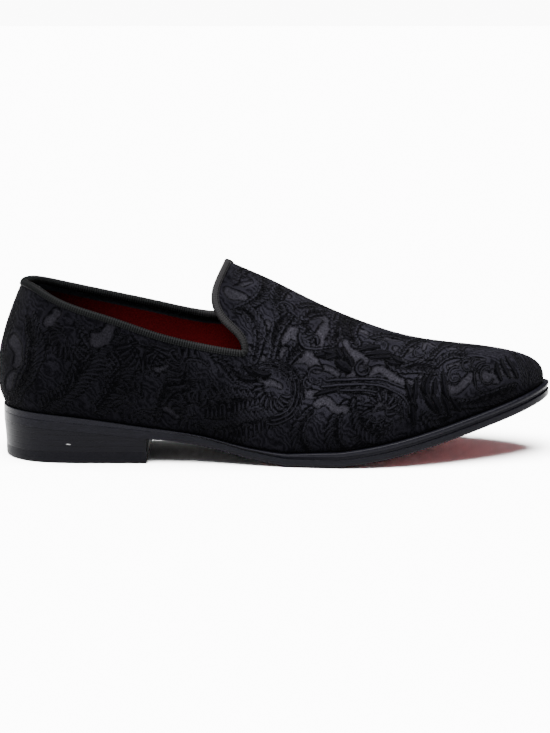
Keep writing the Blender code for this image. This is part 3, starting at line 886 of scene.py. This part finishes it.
lining = new_piece("leather_lining", *lining_points())
lining_finish, place_mm = new_finish("red_lining")
hide = place_mm.noise(1.4, 4, 0.6)
hide_light = hide.between(0.3, 0.8)
red = hide_light.blend((0.0115, 0.00030, 0.00050), (0.0215, 0.00056, 0.00088))
# painted light and shade: the red is lighter towards the throat and darker down into the heel
lit_red = hide_light.blend((0.0150, 0.0004, 0.0006), (0.0270, 0.0007, 0.0010))
lit_near_throat = place_mm.part("X").between(45, 95)
shade_near_heel = place_mm.part("X").between(45, -25) * 0.75
red = shade_near_heel.blend(lit_near_throat.blend(red, lit_red), (0.0030, 0.0002, 0.0003))
black_band = place_mm.kept_on_mesh("below_rim").between(6.2, 5.8)
lining_colour = black_band.blend(red, (0.0040, 0.0047, 0.0058))
dress(lining, lining_finish, lining_colour, 0.6, hide, 0.0002, {"Specular IOR Level": 0.017})
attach(lining, "root")

# The topline binding. A ribbed tape of black cloth, folded over the cut edge of the velvet and
# its lining, and stitched through both near its lower edge.
BINDING_WIDTH = 0.0028
BINDING_THICKNESS = 0.0008
RIB_PITCH = 0.0013
RIB_RISE = 0.00012


def binding_points():
    """The tape's section, carried once round the cutting lines of both halves."""
    (outer_rows, outer_shares), (inner_rows, inner_shares) = CUTTING_LINES.values()
    place = np.append(on_side(outer_rows, OUTER), on_side(inner_rows, INNER)[-2:0:-1])
    share = np.append(outer_shares, inner_shares[-2:0:-1])
    rim = last_point(place, share)
    run = arc_lengths(np.append(rim, rim[:1], axis=0))
    sections = int(run[-1] / RIB_PITCH) * 4
    even = np.linspace(0, run[-1], sections, endpoint=False)

    def spaced(values):
        """A closed row of vectors, taken again at even steps along the rim."""
        closed = np.append(values, values[:1], axis=0)
        return np.stack([np.interp(even, run, column) for column in closed.T], axis=1)

    rim = spaced(rim)
    normal = spaced(last_normal(place, share))
    along = np.roll(rim, -3, axis=0) - np.roll(rim, 3, axis=0)
    along /= np.linalg.norm(along, axis=1, keepdims=True)
    for _ in range(6):
        along = (np.roll(along, 2, axis=0) + along + np.roll(along, -2, axis=0)) / 3
        normal = (np.roll(normal, 2, axis=0) + normal + np.roll(normal, -2, axis=0)) / 3
    normal -= along * (normal * along).sum(1, keepdims=True)
    normal /= np.linalg.norm(normal, axis=1, keepdims=True)
    down = np.cross(along, normal)
    down /= np.linalg.norm(down, axis=1, keepdims=True)
    if down[0, 2] > 0:
        down = -down
    rib = np.cos(np.arange(sections) * np.pi / 2) * RIB_RISE
    outside, inside = GAP, -(WALL + GAP)
    thick, wide = BINDING_THICKNESS, BINDING_WIDTH
    # drop below the cut edge, distance out from the last, share of the ribs' rise
    profile = (
        (wide, outside - 0.0002, 0), (wide, outside + thick * 0.5, 0.2),
        (wide - 0.0004, outside + thick * 0.95, 0.6), (wide - 0.0009, outside + thick, 1),
        (0.0012, outside + thick, 1), (0.0004, outside + thick, 1),
        (-0.0004, outside + thick * 0.7, 1), (-0.0010, outside - 0.0002, 1),
        (-0.0010, inside + 0.0002, 1), (-0.0004, inside - thick * 0.7, 1),
        (0.0008, inside - thick, 1), (wide - 0.0009, inside - thick, 1),
        (wide - 0.0004, inside - thick, 0.6), (wide, inside - thick * 0.5, 0.2),
        (wide, inside + 0.0002, 0),
    )
    points = []
    for drop, out, ribbed in profile:
        stand = out + np.sign(out - inside / 2) * rib * ribbed
        points.append(rim + down * drop + normal * stand[:, None])
    grid = np.stack(points, axis=1)
    faces = grid_faces(sections, len(profile), True, closed=True)
    drops = np.tile([row[0] * 1000 for row in profile], sections)
    runs = np.repeat(even * 1000, len(profile))
    return grid.reshape(-1, 3), faces, {"from_rim": drops, "along_tape": runs}


binding = new_piece("ribbed_binding", *binding_points())
binding_finish, place_mm = new_finish("ribbed_tape")
from_rim = place_mm.kept_on_mesh("from_rim")
along_tape = place_mm.kept_on_mesh("along_tape")
rib_wave = (along_tape * (2 * np.pi / (RIB_PITCH * 1000))).maths("COSINE") * 0.5 + 0.5
thread = place_mm.noise(5, 2, 0.6)
seam_line = from_rim.between(1.7, 1.95) * (1 - from_rim.between(2.1, 2.35))
edge_line = from_rim.between(0.5, 0.1) * from_rim.between(-0.5, -0.1)
tape_light = (rib_wave + thread * 0.25 + edge_line * 0.5).between(0.35, 1.0)
tape_colour = tape_light.blend((0.00006, 0.00009, 0.00010), (0.00240, 0.00255, 0.00265))
# painted light: the tape over the tab is lighter
lit_tab = place_mm.part("Z").between(55, 80) * place_mm.part("X").between(60, 75)
tape_colour = (lit_tab * 0.36).blend(tape_colour, (0.0100, 0.0093, 0.0097))
tape_colour = seam_line.blend(tape_colour, (0.00051, 0.00055, 0.00060))
dress(
    binding, binding_finish, tape_colour, 0.6, thread * 0.4 + rib_wave * 0.5, 0.0002,
    {"Specular IOR Level": 0.01},
)
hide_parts("topline_binding")
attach(binding, "root")

# The insole. A board covered with dark red leather, cut to the inside of the shoe and laid on
# the outsole, its upper edge rounded where it meets the lining.
INSOLE = 0.0055


def side_to_side(stations, rows, inset, height):
    """Points and faces of a flat piece, section by section, and the distance from its edge.

    Each row of the table is one point down a side of the section. The two functions take the
    place on the ring, or x, and the row, and give the point's inset and its height.
    """
    halves, insets = [], []
    for side in (OUTER, INNER):
        place = on_side(stations, side)
        column, reaches = [], []
        for row in rows:
            reach = np.broadcast_to(inset(place, *row), place.shape)
            x, y = outline(place, reach)
            z = np.broadcast_to(height(x, *row), x.shape)
            column.append(np.stack([x - HEEL_LENGTH / 2, y, z], axis=-1))
            reaches.append(reach * 1000)
        halves.append(np.stack(column, axis=1))
        insets.append(np.stack(reaches, axis=1))
    grid = np.concatenate([halves[0], halves[1][:, ::-1]], axis=1)
    from_edge = np.concatenate([insets[0], insets[1][:, ::-1]], axis=1)
    count = grid.shape[1]
    faces = []
    for i in range(len(stations) - 1):
        for j in range(count):
            k = (j + 1) % count
            faces.append((i * count + j, (i + 1) * count + j, (i + 1) * count + k, i * count + k))
    last = (len(stations) - 1) * count
    faces.append(tuple(range(count)))
    faces.append(tuple(last + j for j in reversed(range(count))))
    return grid.reshape(-1, 3), faces, {"from_edge": from_edge.ravel()}


# Inset from the lining and drop from the top, round the edge and down to the outsole.
INSOLE_ROWS = (
    (0.022, 0), (0.008, 0), (0.0025, 0.0002), (0.0006, 0.0006), (0, 0.0016), (0, INSOLE),
)


def insole_inset(place, inset, drop):
    return step_in(place) + WALL + 2 * GAP + inset


def insole_height(x, inset, drop):
    return underside(x) + OUTSOLE + GAP + INSOLE - drop


insole_stations = np.linspace(0.15, TOE - 0.15, 120)
insole_mesh = side_to_side(insole_stations, INSOLE_ROWS, insole_inset, insole_height)
insole = new_piece("insole_sock", *insole_mesh)
insole_finish, place_mm = new_finish("red_sock")
sock_grain = place_mm.noise(1.2, 4, 0.6)
sock_light = sock_grain.between(0.3, 0.8)
sock_colour = sock_light.blend((0.01106, 0.00026, 0.00038), (0.02128, 0.00055, 0.00077))
dress(insole, insole_finish, sock_colour, 0.6, sock_grain, 0.0002, {"Specular IOR Level": 0.017})
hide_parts("insole")
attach(insole, "root")

# The welt. A black leather strip, sewn on all round the shoe. It is grooved at its foot, where
# it meets the outsole, and rounded on top, where the upper is tucked in.
WELT_GROOVE = 0.0009
GROOVE_WHOLE_FROM = 0.14
GLUE = 0.00004
# an edge that turns more than this, in radians, stays sharp
SHARP_ANGLE = 0.9


def welt_points():
    """A closed profile carried round the sole; over the heel it has no groove."""
    place = np.linspace(0, RING, 900, endpoint=False)
    groove = np.minimum(WELT_GROOVE, step_in(place) / 2)
    groove = groove * np.interp(edge_x(place), (HEEL_LENGTH, GROOVE_WHOLE_FROM), (0.0, 1.0))
    inner = step_in(place) + WALL
    # inset from the sole's outline, share of the welt's height
    profile = (
        (inner, 0.0), (groove, 0.0), (groove, 0.22), (groove * 0.6, 0.36), (groove * 0.15, 0.46),
        (groove * 0, 0.58), (groove * 0, 0.74), (groove * 0.15, 0.88), (groove * 0.5, 0.97),
        (groove, 1.0), (inner, 1.0),
    )
    columns = []
    for inset, share in profile:
        x, y = outline(place, inset)
        height = underside(x) + OUTSOLE + (GAP + share * welt_body(x) if share else GLUE)
        columns.append(np.stack([x - HEEL_LENGTH / 2, y, height], axis=-1))
    grid = np.stack(columns, axis=1)
    grid = np.concatenate([grid, grid[:, :1]], axis=1)
    faces = grid_faces(len(place), grid.shape[1], False, closed=True)
    return grid.reshape(-1, 3), faces, {}


welt = new_piece("stitched_welt", *welt_points(), sharp=SHARP_ANGLE)
welt_finish, place_mm = new_finish("black_welt")
wax = place_mm.noise(0.8, 4, 0.6)
welt_colour = wax.between(0.3, 0.8).blend((0.00105, 0.00102, 0.00158), (0.00202, 0.00195, 0.00292))
dress(
    welt, welt_finish, welt_colour, wax.between(0.2, 0.9) * 0.2 + 0.28, wax, 0.0001,
    {"Specular IOR Level": 0.021},
)
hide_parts("welt")
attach(welt, "root")

# The outsole. One thin piece of leather, stitched to the welt. Its edge and its waist are dyed
# black and waxed, and its forepart is stained red below.
EDGE_ROUND = 0.0012
EDGE_ROUND_WIDTH = 0.005

# The edge is square over the heel and rounded below from the waist on. Inset from the outline,
# height over the heel, what the rounding adds past the heel.
OUTSOLE_ROWS = (
    (0.010, OUTSOLE, 0), (0.0001, OUTSOLE, 0), (0.0, OUTSOLE - 0.0001, 0),
    (0.0, OUTSOLE - 0.0004, 0), (0.0, 0.0004, EDGE_ROUND + 0.0008),
    (0.0, 0.0001, EDGE_ROUND + 0.0008), (0.0001, 0.0, EDGE_ROUND + 0.0002),
    *((EDGE_ROUND_WIDTH * way, 0, EDGE_ROUND * (1 - way) ** 1.6) for way in (0.15, 0.4, 0.7, 1.0)),
)


def outsole_inset(place, inset, height, added):
    return inset


def outsole_height(x, inset, height, added):
    past_heel = np.clip((x - HEEL_LENGTH) / HEEL_LENGTH, 0, 1)
    return underside(x) + height + added * past_heel


outsole_mesh = side_to_side(np.linspace(0, TOE, 260), OUTSOLE_ROWS, outsole_inset, outsole_height)
outsole = new_piece("leather_outsole", *outsole_mesh, sharp=SHARP_ANGLE)
outsole_finish, place_mm = new_finish("sole_leather")
fibre = place_mm.stretched(0.3, 1, 1).noise(0.9, 4, 0.6)
facing = place_mm.node("ShaderNodeNewGeometry", None, None, output=1)
past_waist = place_mm.part("X").between(96, 108)
inside_edge = place_mm.kept_on_mesh("from_edge").between(2.6, 4.0)
under = facing.part("Z").between(-0.60, -0.75) * past_waist * inside_edge
fibre_light = fibre.between(0.3, 0.8)
edge_black = fibre_light.blend((0.00084, 0.00083, 0.00126), (0.00168, 0.00162, 0.00246))
sole_red = fibre_light.blend((0.048, 0.005, 0.007), (0.074, 0.008, 0.010))
outsole_colour = under.blend(edge_black, sole_red)
dress(
    outsole, outsole_finish, outsole_colour, fibre.between(0.2, 0.9) * 0.2 + 0.25, fibre, 0.0001,
    {"Specular IOR Level": 0.018},
)
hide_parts("outsole")
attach(outsole, "root")

# The heel block. Leather lifts glued in a stack, trimmed and waxed black, so each lift shows
# as a fine line.
TOP_PIECE = 0.0060
TOP_PIECE_ROUND = 0.0012
HEEL_TAPER = 0.0010
HEEL_HOLLOW = 0.00012
LIFT = 0.0032
heel_breast = float(row_at(HEEL_LENGTH, edge_x))
heel_stations = np.linspace(0, heel_breast, 90)


def block_inset(place, way):
    """Drawn in a little from the outsole down to the top piece, and slightly hollow."""
    return HEEL_TAPER * way + HEEL_HOLLOW * np.sin(np.pi * way)


def block_height(x, way):
    return (underside(x) - GLUE) * (1 - way) + (TOP_PIECE + GLUE) * way


block_rows = [(way,) for way in np.linspace(0, 1, 13)]
heel_mesh = side_to_side(heel_stations, block_rows, block_inset, block_height)
heel_block = new_piece("stacked_heel", *heel_mesh, sharp=SHARP_ANGLE)
heel_finish, place_mm = new_finish("stacked_heel")
streak = place_mm.stretched(0.06, 0.06, 3.0).noise(1.0, 3, 0.6)
lift_line = (place_mm.part("Z") * (2 * np.pi / (LIFT * 1000))).maths("COSINE").between(0.93, 1.0)
streak_light = streak.between(0.3, 0.75)
heel_colour = streak_light.blend((0.00056, 0.00054, 0.00084), (0.00126, 0.00121, 0.00184))
heel_colour = (lift_line * 0.35).blend(heel_colour, (0.00026, 0.00025, 0.00037))
# a small light nick in the outer side, and painted shade on the heel's front face, which is also
# duller
scuff_x = (place_mm.part("X") + 2.0) * 0.5
scuff_z = (place_mm.part("Z") - 10.6) * 2.2 + (scuff_x - 0.2) * 0.4
scuff = (scuff_x * scuff_x + scuff_z * scuff_z).between(0.55, 0.15)
heel_colour = (scuff * place_mm.part("Y").between(0, -5)).blend(heel_colour, (0.09, 0.09, 0.09))
facing = place_mm.node("ShaderNodeNewGeometry", None, None, output=1)
breast_shade_and_dulling = facing.part("X").between(0.6, 0.9)
heel_colour = breast_shade_and_dulling.blend(heel_colour, (0.0002, 0.0002, 0.0002))
heel_roughness = streak * 0.3 + 0.25 + breast_shade_and_dulling * 0.6
dress(
    heel_block, heel_finish, heel_colour, heel_roughness, streak * 0.5 - lift_line * 0.6, 0.0001,
    {"Specular IOR Level": 0.018},
)
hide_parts("heel_block")
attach(heel_block, "root")

# The top piece. A flat pad of hard black rubber, nailed and glued under the heel and trimmed
# flush with it, its lower edge rounded.

# Share of the rounding's inset, share of the pad's height.
TOP_PIECE_ROWS = ((0.0, 1.0), (0.0, 0.5), (0.0, 0.2), (0.3, 0.08), (1.0, 0.0))


def top_piece_inset(place, inset, share):
    return HEEL_TAPER + TOP_PIECE_ROUND * inset


def top_piece_height(x, inset, share):
    return TOP_PIECE * share


top_piece_mesh = side_to_side(heel_stations, TOP_PIECE_ROWS, top_piece_inset, top_piece_height)
top_piece = new_piece("heel_rubber", *top_piece_mesh, sharp=SHARP_ANGLE)
rubber_finish, place_mm = new_finish("heel_rubber")
rub = place_mm.noise(1.5, 4, 0.6)
rubber_colour = rub.between(0.3, 0.8).blend((0.00068, 0.00067, 0.00100), (0.00137, 0.00133, 0.00192))
dress(
    top_piece, rubber_finish, rubber_colour, rub * 0.2 + 0.4, rub, 0.0001,
    {"Specular IOR Level": 0.015},
)
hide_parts("heel_top_piece")
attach(top_piece, "root")

# The studio. A pale floor, soft light from above and from the front, and a camera that looks
# down a little on the outer side.
FLOOR_REACH = 40.0
floor_mesh = bpy.data.meshes.new("studio_floor")
corners = [(x * FLOOR_REACH, y * FLOOR_REACH, 0) for x, y in ((-1, -1), (1, -1), (1, 1), (-1, 1))]
floor_mesh.from_pydata(corners, [], [(0, 1, 2, 3)])
floor = bpy.data.objects.new("studio_floor", floor_mesh)
bpy.context.scene.collection.objects.link(floor)
floor_finish, place_mm = new_finish("studio_floor")
dress(floor, floor_finish, (0.90, 0.90, 0.90, 1), 0.9, None, 0, {"Specular IOR Level": 0})

# The room is dim but for a bright band where the white wall meets the floor.
ROOM_LIGHT = 0.30
WALL_LIGHT = 10.5
world = bpy.data.worlds.new("studio")
world.use_nodes = True
room = world.node_tree.nodes["Background"]
directions = world.node_tree.nodes.new("ShaderNodeTexCoord")
foot_of_wall = Field(directions.outputs["Generated"]).part("Z").between(0.030, 0.012)
room_light = foot_of_wall * (WALL_LIGHT - ROOM_LIGHT) + ROOM_LIGHT
world.node_tree.links.new(room_light.socket, room.inputs["Strength"])
room.inputs["Color"].default_value = (1, 1, 1, 1)
bpy.context.scene.world = world


def soft_sun(name, towards, softness, power):
    """A wide soft light from one side of the sky: softness is its angle across, in degrees."""
    data = bpy.data.lights.new(name, "SUN")
    data.angle = np.radians(softness)
    data.energy = power
    light = bpy.data.objects.new(name, data)
    light.rotation_euler = Vector(towards).to_track_quat("-Z", "Y").to_euler()
    bpy.context.scene.collection.objects.link(light)


soft_sun("overhead", (0.16, 0.18, -1.0), 56, 38)
soft_sun("front_fill", (0.16, 0.50, -0.85), 26, 7.0)

VIEW_TURN = np.radians(0.685)
VIEW_DROP = np.radians(10.147)
VIEW_DISTANCE = 1.0823
VIEW_AIM = Vector((0.10935, 0, 0.0473))
VIEW_HEIGHT = 0.40315
SENSOR = 36
camera_data = bpy.data.cameras.new("camera")
camera_data.sensor_width = SENSOR
camera_data.lens = SENSOR * VIEW_DISTANCE / VIEW_HEIGHT
camera = bpy.data.objects.new("camera", camera_data)
looking = Vector((
    np.sin(VIEW_TURN) * np.cos(VIEW_DROP), np.cos(VIEW_TURN) * np.cos(VIEW_DROP), -np.sin(VIEW_DROP)
))
camera.location = VIEW_AIM - looking * VIEW_DISTANCE
camera.rotation_euler = looking.to_track_quat("-Z", "Y").to_euler()
bpy.context.scene.collection.objects.link(camera)
bpy.context.scene.camera = camera

bpy.context.view_layer.update()
